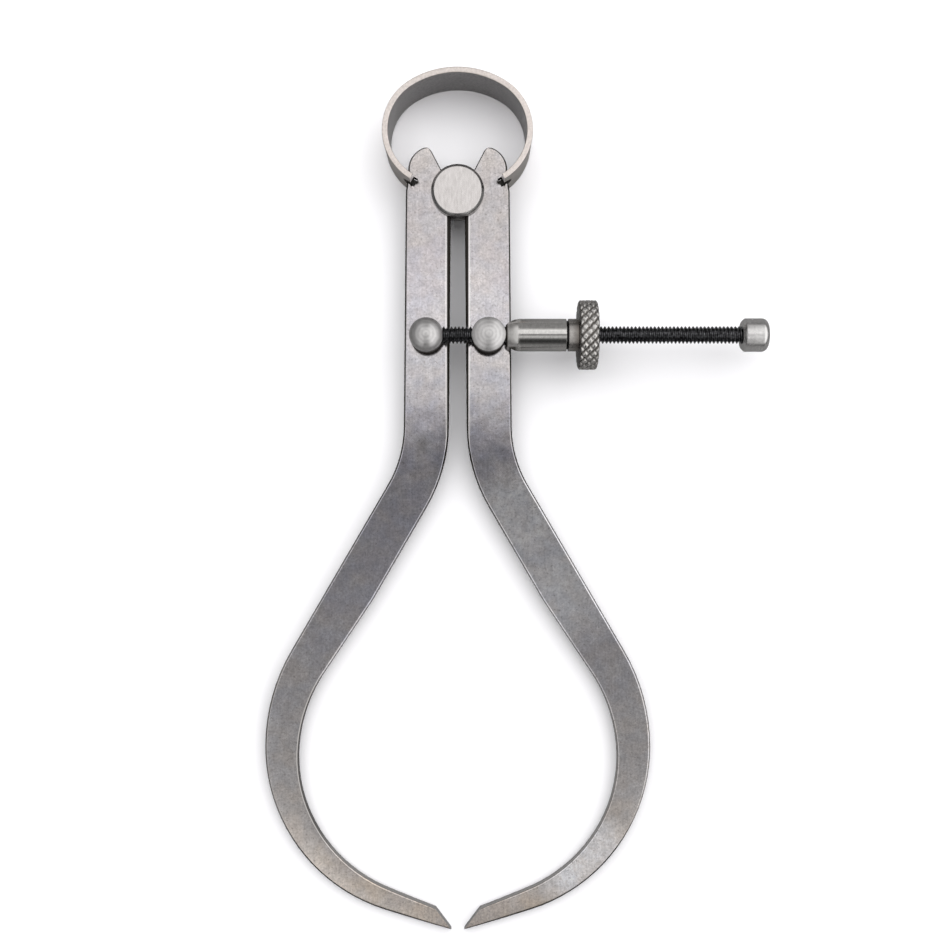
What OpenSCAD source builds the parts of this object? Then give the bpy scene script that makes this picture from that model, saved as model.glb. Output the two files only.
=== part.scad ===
// Spring caliper for outside sizes, in millimetres, lying on its back.
// X runs along the adjusting screw, Y towards the bow spring and Z out of the front face.
// The origin is on the fulcrum axis, at the back face of the fulcrum stud.

/* [Legs] */
// Length from the fulcrum axis to the meeting point of the closed tips
leg_length = 150.4; // [140:0.1:175]
// Width of a leg above its taper
leg_width = 9.2; // [8:0.1:10.5]
// Thickness of a leg
leg_thickness = 2; // [1.6:0.1:4]
// Half of the gap between the straight shanks when the tips meet
half_gap = 1.4; // [1:0.1:2]
// Radius of the rounded edges of a leg
edge_round = 0.5; // [0.2:0.05:0.8]
// Angle that each leg stands open from the closed position
rest_opening = 0.5; // [0.3:0.1:20]

/* [Leg bow] */
// Angle of the outward bend below the straight shank
bend_angle = 29.7; // [26:0.1:33]
// Radius of that bend at the leg's outer edge
bend_radius = 24; // [18:0.5:30]
// Distance from the middle plane to the widest point of the bow
bow_half_span = 38.3; // [35:0.1:42]
// Distance from the widest point of the bow down to the tips
bow_depth = 37.2; // [35:0.1:39]
// Radius of the outer edge above the widest point
bow_upper_radius = 39; // [34:0.5:44]
// Radius of the outer edge below the widest point
bow_lower_radius = 34.8; // [33:0.1:36]
// Angle that the outer edge turns at that lower radius
bow_lower_turn = 73; // [62:1:76]
// Distance along the slanting shank at which the taper starts
taper_start = 22; // [10:1:30]
// Width of a leg at its tip
tip_width = 3.3; // [2.4:0.1:4]
// How far the bevelled tip is cut back along the inner edge
tip_cut = 4.4; // [1:0.1:6]

/* [Leg ears] */
// Radius of the rounded ear at the top of a leg
ear_radius = 4.75; // [4:0.05:5]
// Height of the ear's centre above the fulcrum
ear_height = 4.5; // [3.5:0.1:5.5]
// How far the ear stands back from the leg's outer edge
ear_setback = 0.45; // [0.2:0.05:1]
// Angle of the ear's inner flank from the leg's length
flank_angle = 28; // [24:0.5:32]
// Distance from the fulcrum axis to that flank
flank_offset = 0.9; // [0.7:0.05:1.2]
// Radius of the corner between the flank and the ear
ear_corner = 1.5; // [0.5:0.05:1.8]

/* [Fulcrum stud] */
// Radius of the waist that the legs turn on
waist_radius = 3.6; // [3:0.1:4.2]
// Radius of the two flanges
flange_radius = 5.4; // [5:0.1:6]
// Thickness of a flange
flange_thickness = 1.5; // [1:0.1:2.2]
// Bevel round a flange's outer face
flange_bevel = 0.6; // [0.2:0.05:0.9]
// Clearance between pieces that turn on each other
running_gap = 0.05; // [0.02:0.01:0.1]

/* [Bow spring] */
// Width of the spring strip
spring_width = 12; // [9:0.5:15]
// Thickness of the spring strip
spring_thickness = 1.15; // [0.9:0.05:1.3]
// Half of the bow's outside width
spring_half_span = 15.1; // [14:0.1:16]
// Height of the bow's top above the fulcrum
spring_rise = 23.85; // [23:0.05:25]
// Outside radius of the bow's crown
crown_radius = 18.4; // [17:0.1:20]
// Outside radius of the bow's two sides
side_radius = 11.5; // [11:0.1:12]
// How far the strip reaches in from the leg's outer edge
seat_depth = 2; // [1.5:0.1:2.5]
// Length of the narrow tongue at each end of the strip
tongue_length = 0.7; // [0.4:0.1:1.2]
// Radius of the rounded edges of the strip
spring_round = 0.15; // [0.1:0.05:0.35]
// Room under the strip in its notch
notch_room_below = 0.15; // [0.1:0.05:0.3]
// Room above the strip in its notch
notch_room_above = 0.5; // [0.3:0.05:0.8]

/* [Posts] */
// Distance from the fulcrum down to the posts
post_drop = 29.7; // [24:0.1:34]
// Radius of a post
post_radius = 3.4; // [2.9:0.1:3.8]
// Height of a post above the leg's front face
post_height = 6.9; // [6.4:0.1:7.6]
// Radius of the dome on the left post
left_dome = 3.6; // [3.5:0.1:6]
// Radius of the dome on the right post
right_dome = 6; // [4:0.5:20]
// Radius of the post's shank in the leg
shank_radius = 2.2; // [1.8:0.1:2.6]
// Radius of the riveted head behind the leg
rivet_radius = 3; // [2.8:0.1:3.4]
// Height of that riveted head
rivet_height = 0.6; // [0.4:0.05:0.9]

/* [Adjusting screw] */
// Outside radius of the screw
screw_radius = 1.75; // [1.5:0.05:2]
// Depth of the screw's end past the left post's axis
screw_end = 1.4; // [0.5:0.1:2]
// Clearance round the screw where it is fixed in a piece
fixed_gap = 0.02; // [0.01:0.01:0.04]
// Radius of the sleeve
sleeve_radius = 3.25; // [2.9:0.05:3.6]
// Distance from the right post's axis to the sleeve's far end
sleeve_reach = 15.55; // [12:0.05:18]
// Radius of the sleeve's nose at the post
sleeve_nose_radius = 2.3; // [2.2:0.05:2.8]
// Bevel round the end of that nose
sleeve_nose_bevel = 0.3; // [0.1:0.05:0.35]
// Length of the sleeve's tapered nose
sleeve_nose_length = 2.2; // [1.5:0.1:3]
// Room between the sleeve and the leg's front face
sleeve_room = 0.3; // [0.2:0.05:0.6]

/* [Knurled nut] */
// Radius over the knurl
nut_radius = 6.95; // [6:0.05:8]
// Width of the knurled rim
nut_width = 3.75; // [3:0.05:5]
// Bevel at both edges of the rim
nut_bevel = 0.45; // [0.3:0.05:0.6]
// Number of diamonds round the rim
knurl_count = 22; // [16:1:30]
// Number of diamonds across the rim
knurl_rows = 2; // [1:1:4]
// Depth of the knurl
knurl_depth = 0.35; // [0.2:0.05:0.5]
// Radius of the nut's collar
collar_radius = 3.25; // [2.9:0.05:3.8]
// Length of the nut's collar
collar_length = 2; // [1:0.05:3]
// Radius of the nut's nose, which bears on the sleeve
nose_radius = 2.85; // [2.4:0.05:3]
// Length of the nut's nose
nose_length = 0.35; // [0.2:0.05:0.6]

/* [End cap] */
// Radius of the cap on the screw's free end
cap_radius = 3.35; // [2.8:0.05:3.7]
// Length of the cap
cap_length = 5.3; // [4.8:0.1:8]
// Bevel round the cap's near end
cap_bevel = 0.65; // [0.3:0.05:0.9]
// Radius of the cap's rounded far end
cap_round = 1.3; // [0.8:0.1:1.4]
// Depth of the screw in the cap
cap_depth = 4; // [3:0.1:4.2]
// Free length of screw between the nut and the cap
cap_travel = 29; // [20:0.05:40]

/* [Hidden] */
$fn = 96;

// Steps of the facets on the legs
corner_steps = 3;
ear_steps = 8;
ear_corner_rows = 2;
bend_steps = 8;
upper_steps = 8;
lower_steps = 20;
tip_steps = 6;
// Steps of the facets on the bow spring
tongue_steps = 2;
side_steps = 24;
crown_steps = 14;
// Steps of the rounding on the end cap
cap_steps = 6;
// Extra length of a cut past the face that it opens
cut_over = 1;
// Run over which the strip steps in to its tongue
shoulder_run = 0.08;

// Levels from the back of the stud to the screw
leg_back = flange_thickness + running_gap;
leg_front = leg_back + leg_thickness;
leg_middle = (leg_back + leg_front) / 2;
post_foot = leg_front + running_gap;
screw_level = leg_front + sleeve_radius + sleeve_room;

// The leg's edges, for a right leg with its tip closed on the middle plane
outer_edge = half_gap + leg_width;
shank_length = (bow_half_span - outer_edge - (bend_radius + bow_upper_radius) * (1 - cos(bend_angle)))
    / sin(bend_angle);
bow_height = bow_depth + (bend_radius + bow_upper_radius) * sin(bend_angle)
    + shank_length * cos(bend_angle);
bend_start = leg_length - bow_height;
bend_centre = [outer_edge + bend_radius, -bend_start];
upper_centre = [bow_half_span - bow_upper_radius, bow_depth - leg_length];
lower_centre = [bow_half_span - bow_lower_radius, bow_depth - leg_length];

// The arc that runs from the end of the lower bow to the tip
tip_from = lower_centre + bow_lower_radius * along(-bow_lower_turn);
tip_chord = [0, -leg_length] - tip_from;
tip_side = -tip_chord * along(-bow_lower_turn);
tip_ahead = tip_chord * along(-90 - bow_lower_turn);
tip_radius = (tip_chord * tip_chord) / (2 * tip_side);
tip_turn = 2 * atan(tip_side / tip_ahead);
tip_centre = tip_from - tip_radius * along(-bow_lower_turn);
tip_run = arc_length(tip_radius, tip_turn);

// Distances along the outer edge from the end of the bend, for the taper
upper_run = shank_length + arc_length(bow_upper_radius, bend_angle);
lower_run = upper_run + arc_length(bow_lower_radius, bow_lower_turn);
whole_run = lower_run + tip_run;

// The ear at the top of the leg
ear_centre = [outer_edge - ear_setback - ear_radius, ear_height];
flank_normal = along(180 - flank_angle);
flank_way = along(90 - flank_angle);
corner_arm = ear_radius - ear_corner;
corner_angle = 180 - flank_angle
    - acos((-flank_offset - ear_corner - flank_normal * ear_centre) / corner_arm);
corner_centre = ear_centre + corner_arm * along(corner_angle);
flank_top = corner_centre + ear_corner * flank_normal;
flank_foot = flank_top + flank_way * (half_gap - flank_top[0]) / flank_way[0];
ear_end = -12;

// The bow spring's arcs
side_centre_x = spring_half_span - side_radius;
crown_half = asin(side_centre_x / (crown_radius - side_radius));
crown_centre = [0, spring_rise - crown_radius];
side_centre = crown_centre + (crown_radius - side_radius) * along(90 - crown_half);
strip_radius = side_radius - spring_thickness / 2;
tongue_end = acos((outer_edge - seat_depth - side_centre_x) / strip_radius);
strip_end = tongue_end - turn_of(tongue_length, strip_radius);
notch_end = tongue_end + turn_of(running_gap, strip_radius);
notch_start = 20;
shoulder_end = strip_end + turn_of(shoulder_run, strip_radius);

// Places along the screw
post_place = turned([half_gap + leg_width / 2, -post_drop], rest_opening);
nut_place = post_place[0] + sleeve_reach + running_gap;
cap_place = nut_place + nose_length + collar_length + nut_width + cap_travel;
screw_from = -post_place[0] - screw_end;
screw_to = cap_place + cap_depth;

steel = [0.74, 0.73, 0.71];
leg_steel = [0.62, 0.6, 0.58];
spring_steel = [0.6, 0.56, 0.5];
black_steel = [0.1, 0.1, 0.11];

function along(angle) = [cos(angle), sin(angle)];
function turned(p, angle) = [p[0] * cos(angle) - p[1] * sin(angle), p[0] * sin(angle) + p[1] * cos(angle)];
function arc_length(radius, angle) = radius * angle * PI / 180;
function turn_of(length, radius) = length / radius * 180 / PI;
function mix(a, b, share) = a + (b - a) * share;

// Width of the leg at a distance along its outer edge
function width_at(run) = mix(leg_width, tip_width,
    max(0, run - taper_start) / (whole_run - taper_start));

// Pairs of points across the leg, inner edge first, from the ear down to the tip
function across(outer, angle, run) = [outer - width_at(run) * along(angle), outer];
function ear_corner_point(step) = corner_centre + ear_corner
    * along(mix(corner_angle, 180 - flank_angle, step / (2 * ear_corner_rows + 1)));
function tip_point(turn, inset) = tip_centre + (tip_radius - inset) * along(-bow_lower_turn - turn);
leg_pairs = concat(
    [for (i = [1:ear_corner_rows]) [ear_corner_point(ear_corner_rows + i), ear_corner_point(ear_corner_rows + 1 - i)]],
    [for (i = [0:ear_steps]) [mix(flank_top, flank_foot, i / ear_steps),
        ear_centre + ear_radius * along(mix(corner_angle, ear_end, i / ear_steps))]],
    [across([outer_edge, 0], 0, 0)],
    [for (i = [0:bend_steps]) let (a = bend_angle * i / bend_steps)
        across(bend_centre - bend_radius * along(a), a, 0)],
    [across(bend_centre - bend_radius * along(bend_angle)
        + taper_start * along(bend_angle - 90), bend_angle, taper_start)],
    [for (i = [0:upper_steps]) let (a = bend_angle * (1 - i / upper_steps))
        across(upper_centre + bow_upper_radius * along(a), a,
            upper_run - arc_length(bow_upper_radius, a))],
    [for (i = [1:lower_steps]) let (a = bow_lower_turn * i / lower_steps)
        across(lower_centre + bow_lower_radius * along(-a), -a,
            upper_run + arc_length(bow_lower_radius, a))],
    [for (i = [1:tip_steps]) let (a = tip_turn * i / tip_steps)
        [tip_point(a * (1 - tip_cut / tip_run), width_at(lower_run + arc_length(tip_radius, a))),
            tip_point(a, 0)]]);

// Section across one pair of points, of a given height about the legs' middle, with rounded edges
function section(pair, height, rounding) = let (
    span = norm(pair[1] - pair[0]),
    way = (pair[1] - pair[0]) / span,
    r = min(rounding, 0.45 * min(span, height)))
    [for (corner = [0:3], step = [0:corner_steps]) let (
        a = 180 + 90 * (corner + step / corner_steps),
        u = (corner == 0 || corner == 3 ? r : span - r) + r * cos(a),
        z = (corner < 2 ? r : height - r) + r * sin(a),
        p = pair[0] + way * u)
        [p[0], p[1], leg_middle - height / 2 + z]];

// Pairs of points across the spring strip, inner face first, from an end up to the crown
function strip_pair(centre, radius, angle) =
    [centre + (radius - spring_thickness) * along(angle), centre + radius * along(angle)];
function side_section(angle, height) =
    section(strip_pair(side_centre, side_radius, angle), height, spring_round);
half_strip = concat(
    [for (i = [0:tongue_steps]) side_section(mix(-tongue_end, -shoulder_end, i / tongue_steps),
        leg_thickness)],
    [for (i = [0:side_steps]) side_section(mix(-strip_end, 90 - crown_half, i / side_steps),
        spring_width)],
    [for (i = [1:crown_steps]) section(strip_pair(crown_centre, crown_radius,
        90 - crown_half * (1 - i / crown_steps)), spring_width, spring_round)]);
whole_strip = concat(half_strip, [for (i = [len(half_strip) - 2:-1:0])
    [for (p = half_strip[i]) [-p[0], p[1], p[2]]]]);

// Solid skin over a row of closed sections that all have the same number of points
module loft(sections) {
    count = len(sections[0]);
    last = len(sections) - 1;
    polyhedron(
        points = [for (ring = sections, p = ring) p],
        faces = concat(
            [[for (j = [0:count - 1]) j]],
            [[for (j = [count - 1:-1:0]) last * count + j]],
            [for (i = [0:last - 1], j = [0:count - 1], half = [0, 1]) let (
                a = i * count + j,
                b = i * count + (j + 1) % count)
                half == 0 ? [a, a + count, b + count] : [a, b + count, b]]));
}

// Part of a ring of rectangular section about the Z axis, between two angles
module ring_part(inside, outside, low, high, from, to) {
    rotate([0, 0, from])
        rotate_extrude(angle = to - from)
            translate([inside, low])
                square([outside - inside, high - low]);
}

// Round piece along X, turned from an outline of distances along it and radii
module turned_piece(outline) {
    rotate([90, 0, 90])
        rotate_extrude()
            polygon([for (p = outline) [p[1], p[0]]]);
}

module drilled_along_x(from, to, radius) {
    translate([from, 0, 0])
        rotate([0, 90, 0])
            cylinder(r = radius, h = to - from);
}

// Right leg as it lies, with its seat on the stud, its spring notch and its post hole
module leg() {
    difference() {
        rotate([0, 0, rest_opening])
            loft([for (pair = leg_pairs) section(pair, leg_thickness, edge_round)]);
        translate([0, 0, leg_back - cut_over])
            cylinder(r = waist_radius + running_gap, h = leg_thickness + 2 * cut_over);
        translate([side_centre[0], side_centre[1], 0])
            ring_part(side_radius - spring_thickness - notch_room_above, side_radius + notch_room_below,
                leg_back - cut_over, leg_front + cut_over, -notch_end, notch_start);
        translate([post_place[0], post_place[1], leg_back - cut_over])
            cylinder(r = shank_radius + running_gap, h = leg_thickness + 2 * cut_over);
    }
}

module right_leg() {
    color(leg_steel)
        leg();
}

module left_leg() {
    color(leg_steel)
        mirror([1, 0, 0])
            leg();
}

module bow_spring() {
    color(spring_steel)
        loft([for (i = [len(whole_strip) - 1:-1:0]) whole_strip[i]]);
}

module fulcrum_stud() {
    top = leg_front + running_gap + flange_thickness;
    color(steel)
        rotate_extrude()
            polygon([
                [0, 0],
                [flange_radius - flange_bevel, 0],
                [flange_radius, flange_bevel],
                [flange_radius, flange_thickness],
                [waist_radius, flange_thickness],
                [waist_radius, top - flange_thickness],
                [flange_radius, top - flange_thickness],
                [flange_radius, top - flange_bevel],
                [flange_radius - flange_bevel, top],
                [0, top]]);
}

// Post with a domed head, a shank through the leg and a riveted head behind it
module post(dome) {
    top = leg_front + post_height;
    intersection() {
        translate([0, 0, post_foot])
            cylinder(r = post_radius, h = top - post_foot);
        translate([0, 0, top - dome])
            sphere(r = dome);
    }
    translate([0, 0, leg_back - running_gap])
        cylinder(r = shank_radius, h = screw_level - leg_back + running_gap);
    translate([0, 0, post_foot])
        cylinder(r = post_radius, h = top - post_foot - min(dome, post_radius));
    translate([0, 0, leg_back - running_gap - rivet_height])
        cylinder(r1 = shank_radius, r2 = rivet_radius, h = rivet_height);
}

module left_post() {
    color(steel)
        translate([-post_place[0], post_place[1], 0])
            difference() {
                post(left_dome);
                translate([0, 0, screw_level])
                    drilled_along_x(-screw_end - running_gap, post_radius + cut_over,
                        screw_radius + fixed_gap);
            }
}

module right_post() {
    color(steel)
        translate([post_place[0], post_place[1], 0])
            difference() {
                post(right_dome);
                translate([0, 0, screw_level])
                    drilled_along_x(-post_radius - cut_over, post_radius + cut_over,
                        screw_radius + running_gap);
            }
}

module adjusting_screw() {
    color(black_steel)
        translate([0, post_place[1], screw_level])
            drilled_along_x(screw_from, screw_to, screw_radius);
}

// Tube with a tapered nose that bears on the side of the post
module sleeve() {
    nose_end = post_radius + running_gap;
    color(steel)
        translate([post_place[0], post_place[1], screw_level])
            turned_piece([
                [nose_end, screw_radius + running_gap],
                [nose_end, sleeve_nose_radius - sleeve_nose_bevel],
                [nose_end + sleeve_nose_bevel, sleeve_nose_radius],
                [nose_end + sleeve_nose_length, sleeve_radius],
                [sleeve_reach, sleeve_radius],
                [sleeve_reach, screw_radius + running_gap]]);
}

// Rim with a diamond knurl: peaks and valleys take turns round each ring and from ring to ring
module knurled_rim() {
    round_steps = 2 * knurl_count;
    row_steps = 2 * knurl_rows;
    valley = nut_radius - knurl_depth;
    edge = valley - nut_bevel;
    function ring(x, peak, low, first) = [for (i = [0:round_steps - 1])
        let (r = (i + first) % 2 == 0 ? low : peak, a = i * 360 / round_steps)
        [x, r * cos(a), r * sin(a)]];
    rings = concat(
        [ring(0, edge, edge, 0)],
        [for (j = [0:row_steps])
            ring(mix(nut_bevel, nut_width - nut_bevel, j / row_steps),
                j == 0 || j == row_steps ? valley : nut_radius, valley, j)],
        [ring(nut_width, edge, edge, 0)]);
    last = len(rings) - 1;
    polyhedron(
        points = [for (r = rings, p = r) p],
        faces = concat(
            [[for (i = [0:round_steps - 1]) i]],
            [[for (i = [round_steps - 1:-1:0]) last * round_steps + i]],
            [for (j = [0:last - 1], i = [0:round_steps - 1], half = [0, 1]) let (
                a = j * round_steps + i,
                b = j * round_steps + (i + 1) % round_steps,
                c = b + round_steps,
                d = a + round_steps)
                (i + j) % 2 == 1
                    ? (half == 0 ? [a, d, c] : [a, c, b])
                    : (half == 0 ? [a, d, b] : [b, d, c])]));
}

module knurled_nut() {
    collar_end = nose_length + collar_length;
    whole = collar_end + nut_width;
    color(steel)
        translate([nut_place, post_place[1], screw_level])
            difference() {
                union() {
                    drilled_along_x(0, whole / 2, nose_radius);
                    drilled_along_x(nose_length, collar_end + nut_width / 2, collar_radius);
                    translate([collar_end, 0, 0])
                        knurled_rim();
                }
                drilled_along_x(-cut_over, whole + cut_over, screw_radius + running_gap);
            }
}

module end_cap() {
    color(steel)
        translate([cap_place, post_place[1], screw_level])
            difference() {
                turned_piece(concat(
                    [[0, 0], [0, cap_radius - cap_bevel], [cap_bevel, cap_radius]],
                    [for (i = [0:cap_steps]) [cap_length, cap_radius] - cap_round * [1, 1]
                        + cap_round * along(90 - 90 * i / cap_steps)],
                    [[cap_length, 0]]));
                drilled_along_x(-cut_over, cap_depth, screw_radius + fixed_gap);
            }
}

left_leg();
right_leg();
bow_spring();
fulcrum_stud();
left_post();
right_post();
adjusting_screw();
sleeve();
knurled_nut();
end_cap();
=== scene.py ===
from math import acos, atan2, ceil, cos, pi, radians, sin, sqrt

import bpy
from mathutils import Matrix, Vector


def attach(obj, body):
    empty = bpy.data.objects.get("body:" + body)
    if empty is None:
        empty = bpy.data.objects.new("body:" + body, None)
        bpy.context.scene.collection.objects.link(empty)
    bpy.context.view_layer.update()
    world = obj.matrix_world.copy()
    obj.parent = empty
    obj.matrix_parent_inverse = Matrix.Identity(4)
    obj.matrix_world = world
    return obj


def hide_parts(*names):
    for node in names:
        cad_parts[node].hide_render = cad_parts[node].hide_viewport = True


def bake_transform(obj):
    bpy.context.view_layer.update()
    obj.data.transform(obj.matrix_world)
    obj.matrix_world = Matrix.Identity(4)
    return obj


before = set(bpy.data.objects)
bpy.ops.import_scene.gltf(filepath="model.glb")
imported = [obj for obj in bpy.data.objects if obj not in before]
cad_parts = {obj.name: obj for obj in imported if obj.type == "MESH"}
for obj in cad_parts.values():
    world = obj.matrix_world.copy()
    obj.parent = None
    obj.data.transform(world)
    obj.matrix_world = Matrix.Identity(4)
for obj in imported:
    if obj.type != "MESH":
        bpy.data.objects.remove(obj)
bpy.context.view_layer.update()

# Legs: two flat steel blanks, forged to a bow, ground on both faces and drawn smooth at the edges.
# Each has an ear that seats on the fulcrum stud, a notch for the spring and a hole for its post.
mm = 0.001
merge_distance = 0.002 * mm


def clear_selection():
    if bpy.context.object and bpy.context.object.mode != "OBJECT":
        bpy.ops.object.mode_set(mode="OBJECT")
    bpy.ops.object.select_all(action="DESELECT")


def take_up(piece):
    clear_selection()
    piece.select_set(True)
    bpy.context.view_layer.objects.active = piece


def edit(piece):
    take_up(piece)
    bpy.ops.object.mode_set(mode="EDIT")
    bpy.ops.mesh.select_all(action="SELECT")


def merged_copy(node, name):
    """A copy of a node of the frame, with its loose triangles joined."""
    take_up(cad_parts[node])
    bpy.ops.object.duplicate()
    piece = bpy.context.object
    piece.parent = None
    for key in list(piece.keys()):
        del piece[key]
    piece.name = piece.data.name = name
    piece.data.materials.clear()
    bpy.ops.mesh.customdata_custom_splitnormals_clear()
    edit(piece)
    bpy.ops.mesh.remove_doubles(threshold=merge_distance)
    bpy.ops.object.mode_set(mode="OBJECT")
    return piece


def use_modifier(piece, kind, **settings):
    take_up(piece)
    modifier = piece.modifiers.new(kind.lower(), kind)
    for setting, value in settings.items():
        setattr(modifier, setting, value)
    bpy.ops.object.modifier_apply(modifier=modifier.name)


def soften(piece, width, angle=35):
    """Takes the sharpness off the edges that are steeper than an angle."""
    use_modifier(piece, "BEVEL", width=width * mm, segments=2, limit_method="ANGLE",
                 angle_limit=radians(angle))


def smooth(piece, angle=50):
    take_up(piece)
    bpy.ops.object.shade_smooth_by_angle(angle=radians(angle))
    use_modifier(piece, "WEIGHTED_NORMAL", keep_sharp=True)


class Finish:
    """A metal finish that is built up from node to node."""

    def __init__(self, name, colour, roughness):
        self.material = bpy.data.materials.new(name)
        self.material.use_nodes = True
        self.nodes = self.material.node_tree.nodes
        self.shader = self.nodes["Principled BSDF"]
        self.shader.inputs["Base Color"].default_value = (*colour, 1)
        self.shader.inputs["Roughness"].default_value = roughness
        self.shader.inputs["Metallic"].default_value = 1
        whereabouts = self.node("ShaderNodeTexCoord").outputs
        self.place, self.facing = whereabouts["Object"], whereabouts["Normal"]

    def node(self, kind, inputs=(), **settings):
        made = self.nodes.new(kind)
        for key, value in settings.items():
            setattr(made, key, value)
        for key, value in dict(inputs).items():
            if isinstance(value, bpy.types.NodeSocket):
                self.material.node_tree.links.new(value, made.inputs[key])
            else:
                made.inputs[key].default_value = value
        return made

    def to_shader(self, socket, value):
        self.material.node_tree.links.new(value, self.shader.inputs[socket])

    def part(self, vector, axis):
        return self.node("ShaderNodeSeparateXYZ", {0: vector}).outputs[axis]

    def number(self, how, *values):
        return self.node("ShaderNodeMath", dict(enumerate(values)), operation=how).outputs[0]

    def vector(self, how, *values):
        made = self.node("ShaderNodeVectorMath", dict(enumerate(values)), operation=how)
        return made.outputs["Value" if how in ("DISTANCE", "DOT_PRODUCT", "LENGTH") else "Vector"]

    def product(self, first, *others):
        for other in others:
            first = self.number("MULTIPLY", first, other)
        return first

    def greatest(self, first, *others):
        for other in others:
            first = self.number("MAXIMUM", first, other)
        return first

    def grain(self, size, detail, stretch=(1, 1, 1), turned=0):
        """Noise whose features are of a size in millimetres."""
        place = self.node("ShaderNodeMapping", {
            "Vector": self.place, "Scale": stretch, "Rotation": (0, 0, radians(turned))}).outputs[0]
        return self.node("ShaderNodeTexNoise", {
            "Vector": place, "Scale": 1 / (size * mm), "Detail": detail}).outputs[0]

    def spread(self, value, low, high, start=0.3, end=0.7):
        """A value stretched from one range, at first that of a noise, to another."""
        return self.node("ShaderNodeMapRange", {"Value": value, "From Min": start, "From Max": end,
                                                "To Min": low, "To Max": high}).outputs[0]

    def rises(self, value, start, end):
        return self.spread(value, 0, 1, start, end)

    def falls(self, value, start, end):
        return self.spread(value, 1, 0, start, end)

    def near(self, middle, full, none, mirrored=False):
        """1 round a point given in millimetres, fading to 0 at a distance from it."""
        place = self.place
        if mirrored:
            place = self.node("ShaderNodeCombineXYZ", {
                "X": self.number("ABSOLUTE", self.part(place, "X")),
                "Y": self.part(place, "Y"), "Z": self.part(place, "Z")}).outputs[0]
        return self.falls(self.vector("DISTANCE", place, Vector(middle) * mm), full * mm, none * mm)

    def ramp(self, value, *stops):
        """Colours at stops from 0 to 1."""
        made = self.node("ShaderNodeValToRGB", {"Fac": value})
        elements = made.color_ramp.elements
        for _ in stops[2:]:
            elements.new(0.5)
        for element, (place, _) in zip(elements, stops):
            element.position = place
        for element, (_, colour) in zip(elements, stops):
            element.color = (*colour, 1)
        return made.outputs[0]

    def mix(self, share, first, second, how="MIX"):
        made = self.node("ShaderNodeMix", data_type="RGBA", blend_type=how)
        for socket, value in ((0, share), (6, first), (7, second)):
            if isinstance(value, bpy.types.NodeSocket):
                self.material.node_tree.links.new(value, made.inputs[socket])
            else:
                made.inputs[socket].default_value = value if socket == 0 else (*value, 1)
        return made.outputs[2]

    def mottle(self, steel, share, low, high):
        """Steel that is darker or lighter from place to place."""
        return self.mix(1.0, steel, self.mix(share, [low] * 3, [high] * 3), "MULTIPLY")

    def paint_shade(self, steel, share, colour):
        """Painted shade: the steel turned to a dull dark colour, which takes its shine away."""
        self.shader.inputs["Specular IOR Level"].default_value = 0
        self.to_shader("Metallic", self.falls(share, 0, 1))
        return self.mix(share, steel, colour)

    def bump(self, *layers):
        """Bumps laid over each other, each a height and its depth in millimetres."""
        normal = None
        for height, depth in layers:
            made = self.node("ShaderNodeBump", {"Height": height, "Distance": depth * mm, "Strength": 1.0})
            if normal:
                self.material.node_tree.links.new(normal, made.inputs["Normal"])
            normal = made.outputs[0]
        self.to_shader("Normal", normal)


leg_front = 3.5
ear_end, tip_end = 10, -150
bow_middle = Vector((0, -113, leg_front)) * mm
notch_middle, notch_root = (8.7, 2.1, 3.3), (8.4, 1.9, leg_front)
# Tone along the leg from ear to tip: partly patina, partly painted reflection.
leg_tone_and_reflection_stops = (
    (0.0, (0.68, 0.64, 0.63)), (0.14, (0.575, 0.54, 0.57)), (0.27, (0.59, 0.57, 0.6)),
    (0.4, (0.53, 0.515, 0.58)), (0.6, (0.56, 0.545, 0.59)), (0.75, (0.59, 0.57, 0.58)),
    (0.85, (0.60, 0.565, 0.55)), (1.0, (0.59, 0.53, 0.49)))
grey_tarnish, golden_tarnish = (0.66, 0.62, 0.60), (0.7, 0.6, 0.5)
warm_tint, cool_tint = (1.015, 1.0, 0.98), (0.985, 1.0, 1.015)
bare_steel, worn_gold = (0.99, 0.975, 1.0), (0.97, 0.87, 0.79)
painted_wall_sheen, painted_edge_highlight = (0.95, 0.92, 0.9), (0.95, 0.91, 0.9)
shank_edge_shade, bend_edge_shade = (0.15, 0.145, 0.14), (0.4, 0.38, 0.37)
pit_brown, painted_shade_black = (0.2, 0.17, 0.15), (0.02, 0.018, 0.016)

leg_finish = Finish("leg_steel", (0.6, 0.58, 0.6), 0.2)
down_leg = leg_finish.falls(leg_finish.part(leg_finish.place, "Y"), tip_end * mm, ear_end * mm)
upward = leg_finish.part(leg_finish.facing, "Z")
from_gap = leg_finish.number("ABSOLUTE", leg_finish.part(leg_finish.place, "X"))
from_bow = leg_finish.vector("SUBTRACT", leg_finish.place, bow_middle)
outward = leg_finish.vector("DOT_PRODUCT", from_bow, leg_finish.facing)

# The ground face: a tone along the leg, partly patina and partly painted reflection, lighter at the ear and
# darker on the shank, tarnish in clouds, and patches that handling has rubbed bare.
leg_colour = leg_finish.ramp(down_leg, *leg_tone_and_reflection_stops)
cloud = leg_finish.grain(6, 4)
tarnish = leg_finish.ramp(down_leg, (0.82, grey_tarnish), (0.93, golden_tarnish))
leg_colour = leg_finish.mix(leg_finish.spread(cloud, 0, 0.5, 0.42, 0.62), leg_colour, tarnish)
frayed = leg_finish.product(leg_finish.spread(cloud, 0.8, 1, 0.4, 0.55),
                            leg_finish.spread(leg_finish.grain(0.8, 3), 0.7, 1, 0.36, 0.5))
for x, y, full, none, share in ((13, -66, 5, 12, 1), (20, -80, 4, 16, 0.85),
                                (27.5, -133.5, 2, 8, 1), (22.5, -139.5, 1, 7, 1)):
    rubbed = leg_finish.product(leg_finish.near((x, y, leg_front), full, none), frayed, share)
    leg_colour = leg_finish.mix(rubbed, leg_colour, bare_steel)
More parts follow.
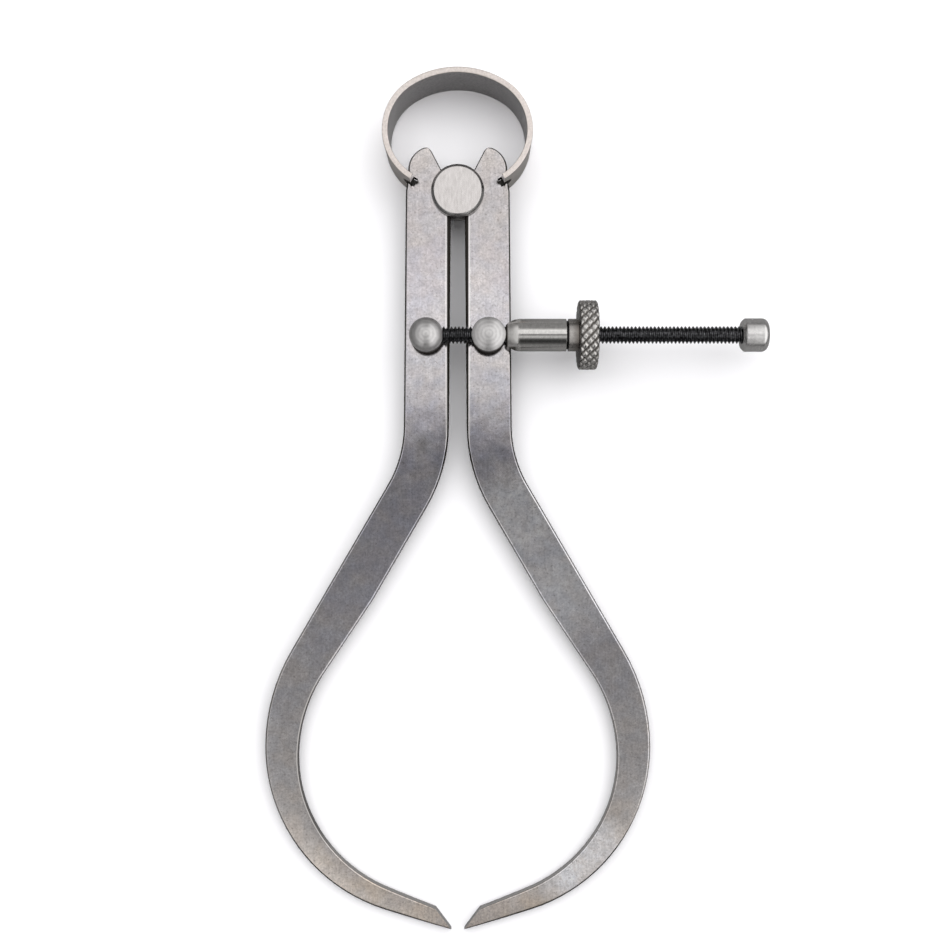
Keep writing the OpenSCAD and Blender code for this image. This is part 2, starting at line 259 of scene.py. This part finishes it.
outer_half = leg_finish.spread(leg_finish.vector("LENGTH", from_bow), 0, 0.8, 34 * mm, 37.5 * mm)
worn_outside = leg_finish.product(outer_half, leg_finish.near((-22, -145, leg_front), 10, 24))
leg_colour = leg_finish.mix(worn_outside, leg_colour, worn_gold)
tint = leg_finish.mix(leg_finish.rises(leg_finish.grain(4, 3), 0.4, 0.6), warm_tint, cool_tint)
leg_colour = leg_finish.mix(1.0, leg_colour, tint, "MULTIPLY")
grinding = leg_finish.rises(leg_finish.grain(0.35, 3, stretch=(1, 0.08, 1)), 0.3, 0.7)
leg_colour = leg_finish.mottle(leg_colour, grinding, 0.93, 1.05)
for size, low, high in ((0.45, 0.84, 1.1), (1.3, 0.9, 1.08)):
    speckle = leg_finish.rises(leg_finish.grain(size, 4), 0.33, 0.67)
    leg_colour = leg_finish.mottle(leg_colour, speckle, low, high)
pits = leg_finish.spread(leg_finish.grain(0.5, 1), 0, 0.4, 0.63, 0.73)
leg_colour = leg_finish.mix(pits, leg_colour, pit_brown)

# The edges: painted shade along the shank, a painted sheen on the walls of the bow, a painted highlight line
# beside the gap and painted shade on the inner bend.
on_shank, on_bow = leg_finish.falls(down_leg, 0.4, 0.6), leg_finish.rises(down_leg, 0.4, 0.6)
# Painted shade on the rounded edges along the shank.
shaded_shank_side = leg_finish.product(leg_finish.falls(upward, 0.9, 0.975), on_shank)
leg_colour = leg_finish.mix(shaded_shank_side, leg_colour, shank_edge_shade)
# A painted sheen on the walls of the bow.
bow_wall_sheen = leg_finish.product(leg_finish.falls(upward, 0.45, 0.65), on_bow)
leg_colour = leg_finish.mix(bow_wall_sheen, leg_colour, painted_wall_sheen)
# A painted highlight line on the edges beside the gap, below the stud.
beside_gap = leg_finish.product(leg_finish.rises(down_leg, 0.08, 0.09),
                                leg_finish.falls(down_leg, 0.4, 0.45))
gap_edge_highlight = leg_finish.product(beside_gap, leg_finish.spread(from_gap, 0.6, 0, 2.45 * mm, 2.6 * mm))
leg_colour = leg_finish.mix(gap_edge_highlight, leg_colour, painted_edge_highlight)
# Painted shade that dims the edge of the inner bend of the left leg.
shaded_inner_bend = leg_finish.product(leg_finish.near((-32.5, -116, leg_front), 14, 20),
                                leg_finish.falls(upward, 0.97, 0.998))
leg_colour = leg_finish.mix(shaded_inner_bend, leg_colour, bend_edge_shade)

# Painted shade: in the gap between the shanks, in the notches and round the outer edge of the tips.
in_gap = leg_finish.greatest(
    leg_finish.product(shaded_shank_side, leg_finish.falls(from_gap, 3 * mm, 4 * mm)),
    leg_finish.product(beside_gap, leg_finish.falls(from_gap, 2.12 * mm, 2.28 * mm)))
in_notch = leg_finish.greatest(
    leg_finish.product(leg_finish.near(notch_middle, 2.2, 2.6, mirrored=True),
                       leg_finish.falls(upward, 0.9, 0.97)),
    leg_finish.near(notch_root, 0.3, 0.7, mirrored=True))
under_tip = leg_finish.product(
    leg_finish.rises(outward, 2 * mm, 6 * mm), leg_finish.falls(upward, 0.95, 0.995),
    leg_finish.rises(down_leg, 0.8, 0.9))
painted_shade = leg_finish.greatest(under_tip, in_gap, in_notch)
leg_finish.to_shader("Base Color", leg_finish.paint_shade(leg_colour, painted_shade, painted_shade_black))
leg_finish.to_shader("Roughness", leg_finish.spread(leg_finish.grain(2.5, 5), 0.06, 0.13))
leg_finish.bump((leg_finish.grain(0.4, 2), 0.0012), (leg_finish.grain(9, 2), 0.035))

for side in ("left", "right"):
    leg = merged_copy(f"{side}_leg", f"{side}_leg_ground")
    smooth(leg)
    leg.data.materials.append(leg_finish.material)
    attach(leg, f"{side}_leg")
    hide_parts(f"{side}_leg")

# Bow spring: one strip of tempered steel, bent to a bow. Its ends sit in the notches of the legs.
# It is made as two halves that meet at the crown.
spring_middle, spring_half_width = 2.55, 6
loop_middle = Vector((0, 9, 0)) * mm
front_corner = (8.3, 2.0, 8.5)
dull_inside, bright_inside = (0.72, 0.7, 0.71), (0.95, 0.92, 0.93)
inside_cheek_sheen, outside_reflection = (1.0, 0.98, 0.98), (0.9, 0.85, 0.81)
dull_rim, bright_rim = (0.76, 0.69, 0.65), (0.94, 0.86, 0.81)
spring_shade_black = (0.03, 0.028, 0.026)

spring_finish = Finish("spring_steel", (0.55, 0.51, 0.46), 0.38)
rub = spring_finish.rises(spring_finish.grain(0.5, 5), 0.3, 0.7)
from_middle = spring_finish.number("ABSOLUTE", spring_finish.number(
    "SUBTRACT", spring_finish.part(spring_finish.place, "Z"), spring_middle * mm))
at_rim = spring_finish.rises(from_middle, (spring_half_width - 0.14) * mm, (spring_half_width - 0.06) * mm)
from_loop = spring_finish.vector("SUBTRACT", spring_finish.place, loop_middle)
out_of_loop = spring_finish.vector("DOT_PRODUCT", from_loop, spring_finish.facing)
sideways = spring_finish.number("ABSOLUTE", spring_finish.part(spring_finish.facing, "X"))
# Random tone inside the loop; a painted sheen on the sideways-facing cheeks inside, and a painted reflection
# on the outside of the loop.
inside = spring_finish.mix(rub, dull_inside, bright_inside)
inside = spring_finish.mix(spring_finish.rises(sideways, 0.4, 1), inside, inside_cheek_sheen)
strip = spring_finish.mix(spring_finish.rises(out_of_loop, -2 * mm, 2 * mm), inside, outside_reflection)
strip = spring_finish.mix(at_rim, strip, spring_finish.mix(rub, dull_rim, bright_rim))
# Painted shade where the spring's ends tuck into the notches.
tucked_in_shade = spring_finish.greatest(
    spring_finish.near(front_corner, 0.7, 0.95, mirrored=True),
    spring_finish.product(spring_finish.near(notch_middle, 2.2, 2.6, mirrored=True),
                          spring_finish.falls(at_rim, 0, 1)))
spring_finish.to_shader("Base Color", spring_finish.paint_shade(strip, tucked_in_shade, spring_shade_black))
spring_finish.to_shader("Roughness", spring_finish.spread(spring_finish.grain(3, 4), 0.3, 0.45))
spring_finish.bump((spring_finish.grain(0.4, 2), 0.002))

halves = {side: merged_copy("bow_spring", f"bow_spring_{side}") for side in ("left", "right")}
for side, way in (("left", -1), ("right", 1)):
    spring = halves[side]
    edit(spring)
    bpy.ops.mesh.bisect(plane_co=(0, 0, 0), plane_no=(way, 0, 0), use_fill=True, clear_inner=True)
    bpy.ops.object.mode_set(mode="OBJECT")
    smooth(spring)
    spring.data.materials.append(spring_finish.material)
    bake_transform(spring)
    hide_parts("bow_spring")

# Fulcrum stud: a steel spool turned from bar. It has a bevelled flange before and behind the legs,
# which turn on its waist, and its front face is scraped by use.
stud_height, flange_height, flange_radius, flange_bevel, waist_radius = 5.1, 1.5, 5.4, 0.6, 3.6
dull_face, bright_face, bevel_shade = (0.66, 0.625, 0.61), (0.82, 0.78, 0.765), (0.46, 0.45, 0.44)


def turn(name, axis, centre, stations, tube=False, steps=96):
    """Draws out a round piece ring by ring. Each station is a distance along the axis and a radius."""
    clear_selection()
    way = Vector((1, 0, 0)) if axis == "X" else Vector((0, 0, 1))
    (first, radius), rest = stations[0], stations[1:]
    bpy.ops.mesh.primitive_circle_add(
        vertices=steps, radius=radius * mm, fill_type="NOTHING" if tube else "NGON",
        location=centre + way * first * mm, rotation=(0, pi / 2, 0) if axis == "X" else (0, 0, 0))
    piece = bpy.context.object
    piece.name = piece.data.name = name
    bpy.ops.object.transform_apply(location=True, rotation=True, scale=True)
    edit(piece)
    for distance, wanted in rest:
        bpy.ops.mesh.extrude_region_move(TRANSFORM_OT_translate={"value": way * (distance - first) * mm})
        grow = wanted / radius
        bpy.ops.transform.resize(value=(1, grow, grow) if axis == "X" else (grow, grow, 1),
                                 center_override=centre + way * distance * mm)
        first, radius = distance, wanted
    bpy.ops.mesh.select_all(action="SELECT")
    if tube:
        bpy.ops.mesh.remove_doubles(threshold=merge_distance)
    bpy.ops.mesh.normals_make_consistent(inside=False)
    bpy.ops.object.mode_set(mode="OBJECT")
    return piece


back_flange = [(0, flange_radius - flange_bevel), (flange_bevel, flange_radius),
               (flange_height, flange_radius), (flange_height, waist_radius)]
front_flange = [(stud_height - height, radius) for height, radius in reversed(back_flange)]
stud = turn("fulcrum_spool", "Z", Vector((0, 0, 0)), back_flange + front_flange)
soften(stud, 0.08)
smooth(stud)

stud_finish = Finish("stud_steel", (0.66, 0.64, 0.61), 0.3)
scrapes = stud_finish.mix(0.5, stud_finish.grain(0.3, 4, stretch=(1, 0.2, 1), turned=12),
                          stud_finish.grain(0.4, 4, stretch=(1, 0.2, 1), turned=-20))
face = stud_finish.mix(stud_finish.rises(scrapes, 0.36, 0.64), dull_face, bright_face)
from_stud_axis = stud_finish.vector("LENGTH", stud_finish.vector("MULTIPLY", stud_finish.place, (1, 1, 0)))
# Painted shade on the bevels and rims of the flanges, round the scraped face.
bevel_from = flange_radius - flange_bevel
at_bevel = stud_finish.rises(from_stud_axis, (bevel_from - 0.06) * mm, (bevel_from + 0.06) * mm)
stud_finish.to_shader("Base Color", stud_finish.mix(at_bevel, face, bevel_shade))
stud_finish.to_shader("Roughness", stud_finish.spread(stud_finish.grain(1.5, 4), 0.2, 0.32))
stud_finish.bump((scrapes, 0.003), (stud_finish.grain(0.3, 3), 0.0015))
stud.data.materials.append(stud_finish.material)
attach(stud, "fulcrum")
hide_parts("fulcrum_stud")

# Posts: turned steel pegs that swivel in the legs, riveted over behind. The left one has the rounder dome
# and holds the end of the screw; the right one is flatter and lets the screw through.
screw_line = Vector((0, -29.6465, 7.1)) * mm
post_x = 6.259
post_radius, post_foot, post_top = 3.4, 3.6, 10.45
pin_radius, rivet_radius, rivet_from, rivet_to = 2.2, 3.0, 0.9, 1.5
post_bore, blind_end, drill_reach = 1.79, -1.45, 4.3
dome_steps, axis_flat = 12, 0.02
post_steel, post_shade_black, shade_fade, shade_reach = (0.66, 0.645, 0.64), (0.035, 0.03, 0.027), 0.3, 3.5


def post_outline(dome):
    """From the rivet behind the leg up over the dome, to a small flat on the axis."""
    rim = acos(post_radius / dome)
    angles = [rim + (pi / 2 - rim) * i / dome_steps for i in range(dome_steps)]
    crown = [(post_top - dome + dome * sin(angle), dome * cos(angle)) for angle in angles]
    rivet = [(rivet_from, pin_radius), (rivet_to, rivet_radius), (rivet_to, pin_radius)]
    return rivet + [(post_foot, pin_radius), (post_foot, post_radius)] + crown + [(post_top, axis_flat)]


def cut(piece, tool):
    use_modifier(piece, "BOOLEAN", operation="DIFFERENCE", solver="EXACT", object=tool)
    bpy.data.objects.remove(tool)


def turned_finish(name, colour, roughness, ring=0.22, depth=0.004, upright_at=None):
    """Bright steel with the fine rings of the lathe, round an upright axis or along the screw."""
    finish = Finish(name, colour, roughness)
    if upright_at is not None:
        place = finish.node("ShaderNodeMapping", {"Vector": finish.place, "Location": -upright_at}).outputs[0]
        rings = finish.node("ShaderNodeTexWave", {
            "Vector": place, "Scale": pi / 10 / (ring * mm), "Distortion": 1.5, "Detail": 3,
            "Detail Scale": 3}, wave_type="RINGS", rings_direction="Z").outputs[0]
    else:
        rings = finish.grain(ring, 4, stretch=(1, 0.03, 0.03))
    worn = finish.mix(0.3, finish.grain(0.6, 5), rings)
    low, high = [c * 0.86 for c in colour], [min(1, c * 1.1) for c in colour]
    finish.steel = finish.mix(finish.rises(worn, 0.3, 0.7), low, high)
    finish.to_shader("Base Color", finish.steel)
    finish.to_shader("Roughness", finish.spread(finish.grain(1.2, 4), roughness - 0.03, roughness + 0.05))
    finish.bump((rings, depth), (finish.grain(0.4, 2), 0.001))
    return finish


for side, way, dome, body, bore_from in (("left", -1, 4.2, "screw", blind_end),
                                         ("right", 1, 6, "right_post", -drill_reach)):
    foot = Vector((way * post_x * mm, screw_line.y, 0))
    post = turn(f"{side}_post_turned", "Z", foot, post_outline(dome))
    drill = turn("drill", "X", foot + Vector((0, 0, screw_line.z)),
                 [(bore_from, post_bore), (drill_reach, post_bore)], steps=48)
    cut(post, drill)
    soften(post, 0.1)
    smooth(post)
    post_finish = turned_finish(f"{side}_post_steel", post_steel, 0.38, 0.75, 0.0016, foot)
    # Painted shade: the wall below the rim of the dome is turned dark.
    shade_line = post_top - dome + sqrt(dome ** 2 - post_radius ** 2) - 0.1
    level = post_finish.part(post_finish.place, "Z")
    below_rim = post_finish.product(
        post_finish.falls(level, (shade_line - shade_fade) * mm, shade_line * mm),
        post_finish.spread(level, 1, 0.75, (shade_line - shade_reach) * mm, shade_line * mm))
    post_finish.to_shader("Base Color", post_finish.paint_shade(post_finish.steel, below_rim, post_shade_black))
    post.data.materials.append(post_finish.material)
    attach(post, body)
    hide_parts(f"{side}_post")

# Adjusting screw: a steel rod with a rolled thread of 0.77 mm pitch, blackened.
# One turn of the thread's outline is wound along the rod, and the ends are then cut square.
pitch, screw_from, screw_to = 0.77, -7.659, 60.959
crest, root = 1.74, 1.3
root_flat, crest_flat, flank = 0.17, 0.11, 0.36
thread_turns = ceil((screw_to - screw_from) / pitch) + 2
black, worn_black = (0.03, 0.03, 0.032), (0.26, 0.26, 0.27)
clear_selection()
bpy.ops.mesh.primitive_plane_add(size=mm, location=(0, 0, 0))
screw = bpy.context.object
screw.name = screw.data.name = "adjusting_screw_thread"
edit(screw)
bpy.ops.mesh.merge(type="CENTER")
bpy.ops.transform.translate(value=Vector(((screw_from - pitch) * mm, 0, root * mm)))
for share, rise in ((root_flat, 0), (flank, crest - root), (crest_flat, 0), (flank, root - crest)):
    bpy.ops.mesh.extrude_region_move(TRANSFORM_OT_translate={
        "value": Vector((share * pitch * mm, 0, rise * mm))})
bpy.ops.object.mode_set(mode="OBJECT")
use_modifier(screw, "SCREW", axis="X", angle=2 * pi, screw_offset=pitch * mm, iterations=thread_turns,
             steps=32, render_steps=32, use_merge_vertices=True, merge_threshold=merge_distance,
             use_smooth_shade=False)
edit(screw)
bpy.ops.mesh.remove_doubles(threshold=merge_distance)
for end, way in ((screw_from, -1), (screw_to, 1)):
    bpy.ops.mesh.select_all(action="SELECT")
    bpy.ops.mesh.bisect(plane_co=(end * mm, 0, 0), plane_no=(way, 0, 0), use_fill=True, clear_outer=True)
bpy.ops.mesh.select_all(action="SELECT")
bpy.ops.mesh.normals_make_consistent(inside=False)
bpy.ops.transform.translate(value=screw_line)
bpy.ops.object.mode_set(mode="OBJECT")
smooth(screw, 30)
screw_finish = Finish("blackened_steel", black, 0.35)
wear = screw_finish.rises(screw_finish.grain(0.6, 4), 0.3, 0.7)
screw_finish.to_shader("Base Color", screw_finish.mix(wear, black, worn_black))
screw_finish.to_shader("Roughness", screw_finish.spread(screw_finish.grain(1.5, 3), 0.12, 0.22))
screw.data.materials.append(screw_finish.material)
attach(screw, "screw")
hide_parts("adjusting_screw")

# Sleeve: a tube turned from bright steel that slides on the screw. Its rounded nose bears on the side of the
# right post, and has painted shade at its tip and in crescents above and below.
sleeve_bore, sleeve_radius, sleeve_from, sleeve_to = 1.8, 3.25, 3.45, 15.55
nose = [(sleeve_from, 2.0), (3.75, 2.3), (4.2, 2.59), (4.7, 2.86), (5.2, 3.07), (5.7, 3.2),
        (6.2, sleeve_radius)]
sleeve_shade_black = (0.03, 0.026, 0.023)
right_post_centre = Vector((post_x * mm, screw_line.y, screw_line.z))
sleeve = turn("sleeve_tube", "X", right_post_centre, [(sleeve_from, sleeve_bore)] + nose + [
    (sleeve_to, sleeve_radius), (sleeve_to, sleeve_bore), (sleeve_from, sleeve_bore)], tube=True)
soften(sleeve, 0.12)
smooth(sleeve)
sleeve_finish = turned_finish("sleeve_steel", (0.72, 0.7, 0.68), 0.16)
from_post = sleeve_finish.number("SUBTRACT", sleeve_finish.part(sleeve_finish.place, "X"), post_x * mm)
off_line = sleeve_finish.number("ABSOLUTE", sleeve_finish.number(
    "SUBTRACT", sleeve_finish.part(sleeve_finish.place, "Y"), screw_line.y))
shade_on_nose = sleeve_finish.greatest(
    sleeve_finish.product(sleeve_finish.spread(from_post, 0.95, 0, 5.2 * mm, 6.6 * mm),
                          sleeve_finish.rises(off_line, 2.1 * mm, 2.6 * mm)),
    sleeve_finish.falls(from_post, 3.7 * mm, 4.0 * mm))
sleeve_finish.to_shader("Base Color", sleeve_finish.paint_shade(sleeve_finish.steel, shade_on_nose, sleeve_shade_black))
sleeve_finish.to_shader("Roughness", sleeve_finish.spread(from_post, 0.45, 0.13, 5 * mm, 6.4 * mm))
sleeve.data.materials.append(sleeve_finish.material)
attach(sleeve, "right_post")
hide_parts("sleeve")

# Knurled nut: turned from bar with a collar that bears on the sleeve, and a coarse diamond knurl rolled into
# its rim. The collar has painted shade that darkens towards the rim, and the valleys of the knurl are darker.
nut_from = 21.859
nut_place = Vector((nut_from * mm, screw_line.y, screw_line.z))
nut_bore, groove_radius, groove_width, collar_radius = 1.8, 2.85, 0.35, 3.25
rim_from, rim_to, rim_radius, rim_round, rim_rows = 2.35, 6.1, 6.95, 0.5, 30
diamonds, knurl_depth, knurl_from, diamond_length = 22, 0.5, 6.2, 1.75
peak_flat, cross_start, peak_round = 1.35, 0.2, 0.9
dull_knurl, bright_knurl = (0.52, 0.5, 0.485), (0.8, 0.775, 0.75)
groove_black, collar_shade, valley_dark = (0.02, 0.02, 0.02), (0.12, 0.1, 0.085), (0.07, 0.06, 0.05)
rim = []
for i in range(rim_rows + 1):
    x = rim_from + (rim_to - rim_from) * i / rim_rows
    inset = max(0, rim_round - (x - rim_from), rim_round - (rim_to - x))
    rim.append((x, rim_radius - rim_round + sqrt(max(0, rim_round ** 2 - inset ** 2))))
nut = turn("knurled_nut_rolled", "X", nut_place, [
    (0, nut_bore), (0, groove_radius), (groove_width, groove_radius), (groove_width, collar_radius),
    (rim_from, collar_radius)] + rim + [(rim_to, nut_bore), (0, nut_bore)], tube=True, steps=diamonds * 12)
for corner in nut.data.vertices:
    spoke = (corner.co - nut_place) * Vector((0, 1, 1))
    if spoke.length > knurl_from * mm:
        round_share = atan2(spoke.z, spoke.y) / (2 * pi) * diamonds
        row_share = ((corner.co.x - nut_place.x) / mm - (rim_from + rim_to) / 2) / diamond_length
        main, cross = (abs(sin(pi * (round_share + slant * row_share))) for slant in (1, -1))
        rise = min(1, peak_flat * min(main, cross_start + (1 - cross_start) * cross)) ** peak_round
        corner.co -= spoke.normalized() * knurl_depth * mm * (1 - rise)
soften(nut, 0.08, 60)
smooth(nut, 80)
nut_finish = Finish("knurled_steel", (0.6, 0.58, 0.55), 0.3)
along_nut = nut_finish.number("SUBTRACT", nut_finish.part(nut_finish.place, "X"), nut_place.x)
from_nut_axis = nut_finish.vector("LENGTH", nut_finish.vector(
    "MULTIPLY", nut_finish.vector("SUBTRACT", nut_finish.place, nut_place), (0, 1, 1)))
nut_steel = nut_finish.mix(nut_finish.rises(nut_finish.grain(0.5, 5), 0.3, 0.7), dull_knurl, bright_knurl)
# Painted shade on the collar, darker towards the rim.
on_collar = nut_finish.product(
    nut_finish.spread(along_nut, 0.45, 0.9, 0.9 * mm, rim_from * mm),
    nut_finish.falls(along_nut, rim_from * mm, (rim_from + 0.1) * mm))
nut_steel = nut_finish.mix(on_collar, nut_steel, collar_shade)
# The groove at the collar's mouth is painted black: shade in the recess, with some oil.
past_groove = nut_finish.rises(along_nut, (groove_width - 0.05) * mm, (groove_width + 0.05) * mm)
nut_steel = nut_finish.mix(past_groove, groove_black, nut_steel)
# Darker in the valleys of the knurl.
in_valley = nut_finish.product(nut_finish.falls(from_nut_axis, 6.5 * mm, 6.84 * mm),
                               nut_finish.rises(from_nut_axis, 6.38 * mm, 6.44 * mm))
nut_finish.to_shader("Base Color", nut_finish.mix(in_valley, nut_steel, valley_dark))
nut_finish.to_shader("Roughness", nut_finish.spread(nut_finish.grain(1.0, 4), 0.18, 0.3))
nut_finish.bump((nut_finish.grain(0.25, 3), 0.002))
nut.data.materials.append(nut_finish.material)
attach(nut, "nut")
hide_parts("knurled_nut")

# End cap: a plain cap turned from bright steel, with a chamfered mouth and a rounded end.
# It is fixed on the free end of the screw so that the nut can't run off.
cap_place = Vector((56.959 * mm, screw_line.y, screw_line.z))
cap_radius, cap_bore, cap_depth, cap_chamfer, cap_round, cap_steps = 3.35, 1.77, 4.0, 0.65, 1.3, 8
cap_end = [(cap_depth + cap_round * sin(pi / 2 * i / cap_steps),
            cap_radius - cap_round + cap_round * cos(pi / 2 * i / cap_steps)) for i in range(cap_steps + 1)]
cap_mouth = [(cap_depth, cap_bore), (0, cap_bore), (0, cap_radius - cap_chamfer), (cap_chamfer, cap_radius)]
cap = turn("end_cap_turned", "X", cap_place, cap_mouth + cap_end + [(cap_depth + cap_round, axis_flat)])
soften(cap, 0.08)
smooth(cap)
cap_finish = turned_finish("cap_steel", (0.76, 0.745, 0.735), 0.24, depth=0.0016)
cap.data.materials.append(cap_finish.material)
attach(cap, "screw")
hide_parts("end_cap")

# Floor: a pale table top. The tool lies on its back, on the ends of the spring's back edge and on its
# tips, so the table slopes a little in the tool's own frame.
seen_white, lit_white, mirrored_grey = (0.97, 0.962, 0.98), (0.8, 0.8, 0.8), (0.22, 0.22, 0.22)
bow_rest = Vector((0, 2, -3.48)) * mm
tip_rest = Vector((0, -150.4, 1.52)) * mm
glow_from, glow_to = 0.25, 0.6
table_finish = Finish("pale_table", (0.9, 0.9, 0.9), 0.9)
table_finish.shader.inputs["Metallic"].default_value = 0
table_finish.shader.inputs["Specular IOR Level"].default_value = 0
table_finish.shader.inputs["Emission Color"].default_value = (1, 1, 1, 1)
rays = table_finish.node("ShaderNodeLightPath").outputs
in_metal = table_finish.greatest(rays["Is Glossy Ray"], rays["Is Transmission Ray"])
paper = table_finish.mix(in_metal, lit_white, mirrored_grey)
table_finish.to_shader("Base Color", table_finish.mix(rays["Is Camera Ray"], paper, seen_white))
far_off = table_finish.rises(table_finish.vector("LENGTH", table_finish.place), glow_from, glow_to)
table_finish.to_shader("Emission Strength", table_finish.product(rays["Is Camera Ray"], far_off))
clear_selection()
slope = atan2(tip_rest.z - bow_rest.z, tip_rest.y - bow_rest.y) + pi
bpy.ops.mesh.primitive_plane_add(size=6, location=bow_rest, rotation=(slope, 0, 0))
table_top = bpy.context.object
table_top.name = "table_top"
table_top.data.materials.append(table_finish.material)

# Light: a room that is bright over the bow end of the table and dim overhead and at its low edges,
# with one wide soft lamp for the shadows.
levels_along = [
    (-1, 0.22), (-0.9, 0.07), (-0.8, 0.03), (-0.62, 0.05), (-0.48, 0.26), (-0.38, 0.58), (-0.29, 0.66),
    (-0.22, 0.43), (-0.14, 0.36), (-0.06, 0.305), (0.02, 0.25), (0.038, 0.36), (0.056, 0.9), (0.147, 1.13),
    (0.2, 0.9), (0.47, 1.05), (0.57, 0.7), (0.7, 0.3), (1, 0.26)]
levels_across = [
    (-1, 0.5), (-0.7, 0.6), (-0.45, 0.8), (-0.3, 1.05), (-0.18, 0.85), (0.18, 0.85), (0.35, 1.25),
    (1, 1.25)]
levels_up = [(-1, 0.12), (0.2, 0.12), (0.5, 1.0), (1, 1.0)]
sides_from, sides_to = 0.16, 0.3
lamp_place, lamp_length, lamp_width, lamp_power = (0, 0.9, 0.9), 3, 1.8, 22.5
world = bpy.data.worlds.new("studio")
bpy.context.scene.world = world
world.use_nodes = True
sky = world.node_tree
sky.nodes.clear()


def sky_node(kind, inputs=(), **settings):
    made = sky.nodes.new(kind)
    for key, value in settings.items():
        setattr(made, key, value)
    for key, value in dict(inputs).items():
        if isinstance(value, bpy.types.NodeSocket):
            sky.links.new(value, made.inputs[key])
        else:
            made.inputs[key].default_value = value
    return made


def sky_ramp(value, levels):
    """Grey levels at directions from -1 to 1."""
    fit = sky_node("ShaderNodeMapRange", {"Value": value, "From Min": -1.0})
    made = sky_node("ShaderNodeValToRGB", {"Fac": fit.outputs[0]})
    made.color_ramp.interpolation = "EASE"
    for _ in levels[2:]:
        made.color_ramp.elements.new(0.5)
    for stop, (place, _) in zip(made.color_ramp.elements, levels):
        stop.position = (place + 1) / 2
    for stop, (_, level) in zip(made.color_ramp.elements, levels):
        stop.color = (level, level, level, 1)
    return made.outputs[0]


direction = sky_node("ShaderNodeTexCoord").outputs["Generated"]
way_out = sky_node("ShaderNodeSeparateXYZ", {0: direction}).outputs
to_side = sky_node("ShaderNodeMath", {0: way_out["X"]}, operation="ABSOLUTE").outputs[0]
at_sides = sky_node("ShaderNodeMapRange", {
    "Value": to_side, "From Min": sides_from, "From Max": sides_to},
    interpolation_type="SMOOTHSTEP").outputs[0]
sides = sky_node("ShaderNodeMix", {0: 1.0, 6: sky_ramp(way_out["X"], levels_across),
                                   7: sky_ramp(way_out["Z"], levels_up)},
                 data_type="RGBA", blend_type="MULTIPLY").outputs[2]
all_round = sky_node("ShaderNodeMix", {0: at_sides, 6: sky_ramp(way_out["Y"], levels_along), 7: sides},
                     data_type="RGBA").outputs[2]
room = sky_node("ShaderNodeBackground", {"Color": all_round}).outputs[0]
white = sky_node("ShaderNodeBackground", {"Color": (1, 1, 1, 1)}).outputs[0]
seen = sky_node("ShaderNodeLightPath").outputs["Is Camera Ray"]
choice = sky_node("ShaderNodeMixShader", {0: seen, 1: room, 2: white}).outputs[0]
sky_node("ShaderNodeOutputWorld", {"Surface": choice})

clear_selection()
bpy.ops.object.light_add(type="AREA", location=lamp_place)
lamp = bpy.context.object
lamp.data.shape = "RECTANGLE"
lamp.data.size = lamp_length
lamp.data.size_y = lamp_width
lamp.data.energy = lamp_power
lamp.visible_glossy = False

# Camera: straight above, over the middle of the tool and square to its legs.
# It stands near enough for the inner walls of the bow spring to show.
camera_place = Vector((3.52, -57.74, 256.55)) * mm
film_width, focal_length, nearest_seen = 36, 47.07, 0.01
bpy.ops.object.camera_add(location=camera_place, rotation=(0, 0, 0))
camera = bpy.context.object
camera.data.sensor_width = film_width
camera.data.lens = focal_length
camera.data.clip_start = nearest_seen
bpy.context.scene.camera = camera
bpy.context.scene.view_settings.view_transform = "Standard"
